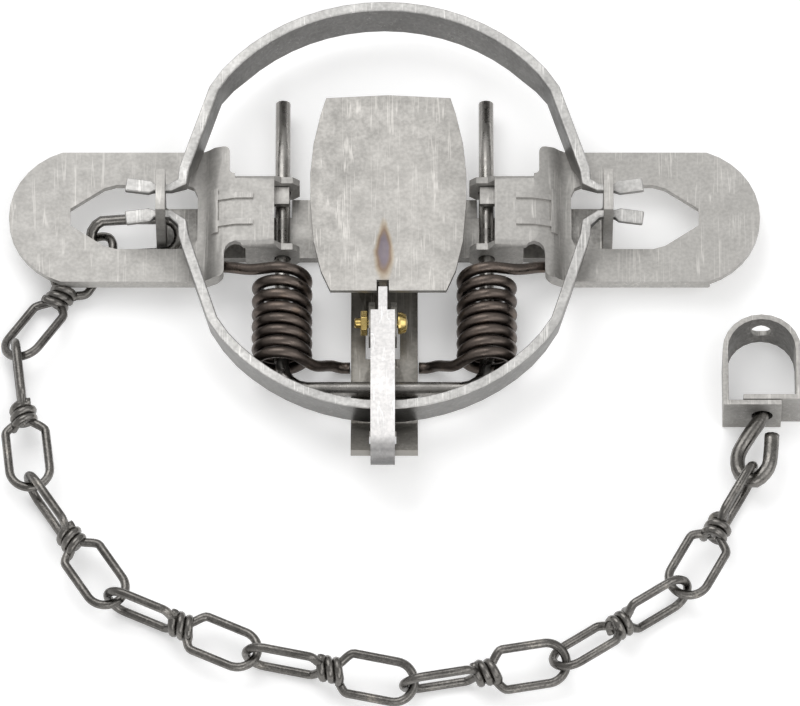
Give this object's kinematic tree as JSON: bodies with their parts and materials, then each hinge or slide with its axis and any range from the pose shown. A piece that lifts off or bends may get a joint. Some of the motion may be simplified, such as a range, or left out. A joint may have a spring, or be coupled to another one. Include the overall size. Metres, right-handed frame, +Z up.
{
  "type": "leghold trap",
  "caption": "Set coil-spring leghold trap: open jaws on a base strap, spring levers, pan and dog, with a chain that ends in a swivel bracket.",
  "frame": {"origin": "on the ground under the base strap, midway between its two ears", "axes": "+Z up, X from lever to lever, -Y towards the dog"},
  "size_m": [0.2511, 0.2424, 0.0295],
  "materials": {
    "plated_steel": "dull zinc plate",
    "jaw_steel": "bright zinc plate",
    "spring_steel": "dark, lightly browned",
    "chain_steel": "dark plated wire",
    "brass": "satin"
  },
  "bodies": {
    "frame": {"base_strap": "plated_steel", "cross_plate": "plated_steel", "plate_rivet_rear": "plated_steel", "plate_rivet_front": "plated_steel", "spring_rod": "chain_steel", "pan_screw": "brass", "pan_nut": "brass", "spring_left": "spring_steel", "spring_right": "spring_steel", "chain_ring": "chain_steel"},
    "pan": {"pan": "plated_steel"},
    "dog": {"dog": "plated_steel"},
    "lever_left": {"lever_left": "plated_steel"},
    "lever_right": {"lever_right": "plated_steel"},
    "jaw_front": {"jaw_front": "jaw_steel"},
    "jaw_rear": {"jaw_rear": "jaw_steel"},
    "chain_link_1": {"chain_link_1": "chain_steel"},
    "chain_link_2": {"chain_link_2": "chain_steel"},
    "chain_link_3": {"chain_link_3": "chain_steel"},
    "chain_link_4": {"chain_link_4": "chain_steel"},
    "chain_link_5": {"chain_link_5": "chain_steel"},
    "chain_link_6": {"chain_link_6": "chain_steel"},
    "chain_link_7": {"chain_link_7": "chain_steel"},
    "chain_link_8": {"chain_link_8": "chain_steel"},
    "swivel_eye": {"swivel_eye": "chain_steel"},
    "swivel_bracket": {"swivel_bracket": "plated_steel"}
  },
  "joints": [
    {"name": "jaw_front_hinge", "type": "hinge", "parent": "frame", "child": "jaw_front", "pos_m": [0, -0.0047, 0.021], "axis": [-1, 0, 0], "range_deg": [0, 92]},
    {"name": "jaw_rear_hinge", "type": "hinge", "parent": "frame", "child": "jaw_rear", "pos_m": [0, 0.0047, 0.021], "axis": [1, 0, 0], "range_deg": [0, 92]},
    {"name": "lever_left_hinge", "type": "hinge", "parent": "frame", "child": "lever_left", "pos_m": [-0.0322, 0, 0.00695], "axis": [0, 1, 0], "range_deg": [0, 31], "deforming": ["spring_left"]},
    {"name": "lever_right_hinge", "type": "hinge", "parent": "frame", "child": "lever_right", "pos_m": [0.0322, 0, 0.00695], "axis": [0, -1, 0], "range_deg": [0, 31], "deforming": ["spring_right"]},
    {"name": "dog_hinge", "type": "hinge", "parent": "frame", "child": "dog", "pos_m": [-0.0005, -0.0885, 0.02161], "axis": [1, 0, 0], "range_deg": [0, 203]},
    {"name": "pan_hinge", "type": "hinge", "parent": "frame", "child": "pan", "pos_m": [-0.0005, -0.0385, 0.0118], "axis": [-1, 0, 0], "range_deg": [0, 8]},
    {"name": "chain_link_1_hinge", "type": "hinge", "parent": "frame", "child": "chain_link_1", "pos_m": [-0.0891, -0.0055, 0.0079], "axis": [0, 0, 1], "range_deg": [-15, 0]},
    {"name": "chain_link_2_hinge", "type": "hinge", "parent": "chain_link_1", "child": "chain_link_2", "pos_m": [-0.11571, -0.04616, 0.0079], "axis": [0, 0, 1], "range_deg": [-15, 0]},
    {"name": "chain_link_3_hinge", "type": "hinge", "parent": "chain_link_2", "child": "chain_link_3", "pos_m": [-0.1104, -0.09274, 0.0079], "axis": [0, 0, 1], "range_deg": [-15, 0]},
    {"name": "chain_link_4_hinge", "type": "hinge", "parent": "chain_link_3", "child": "chain_link_4", "pos_m": [-0.08441, -0.13323, 0.0079], "axis": [0, 0, 1], "range_deg": [-15, 0]},
    {"name": "chain_link_5_hinge", "type": "hinge", "parent": "chain_link_4", "child": "chain_link_5", "pos_m": [-0.0413, -0.15297, 0.0079], "axis": [0, 0, 1], "range_deg": [-15, 0]},
    {"name": "chain_link_6_hinge", "type": "hinge", "parent": "chain_link_5", "child": "chain_link_6", "pos_m": [0.00758, -0.16336, 0.0079], "axis": [0, 0, 1], "range_deg": [-15, 0]},
    {"name": "chain_link_7_hinge", "type": "hinge", "parent": "chain_link_6", "child": "chain_link_7", "pos_m": [0.05466, -0.15522, 0.0079], "axis": [0, 0, 1], "range_deg": [-15, 4]},
    {"name": "chain_link_8_hinge", "type": "hinge", "parent": "chain_link_7", "child": "chain_link_8", "pos_m": [0.09277, -0.13, 0.0079], "axis": [0, 0, 1], "range_deg": [-15, 6]},
    {"name": "swivel_eye_hinge", "type": "hinge", "parent": "chain_link_8", "child": "swivel_eye", "pos_m": [0.11468, -0.08931, 0.0079], "axis": [0, 0, 1], "range_deg": [-12, 12]},
    {"name": "swivel_bracket_turn", "type": "hinge", "parent": "swivel_eye", "child": "swivel_bracket", "pos_m": [0.11838, -0.06, 0.0079], "axis": [0, 1, 0], "range_deg": [-4, 4]}
  ],
  "couplings": [
    {"joint": "jaw_rear_hinge", "follows": "jaw_front_hinge", "ratio": 1},
    {"joint": "lever_left_hinge", "follows": "jaw_front_hinge", "ratio": 0.3333},
    {"joint": "lever_right_hinge", "follows": "jaw_front_hinge", "ratio": 0.3333},
    {"joint": "dog_hinge", "follows": "jaw_front_hinge", "ratio": 2.2}
  ]
}
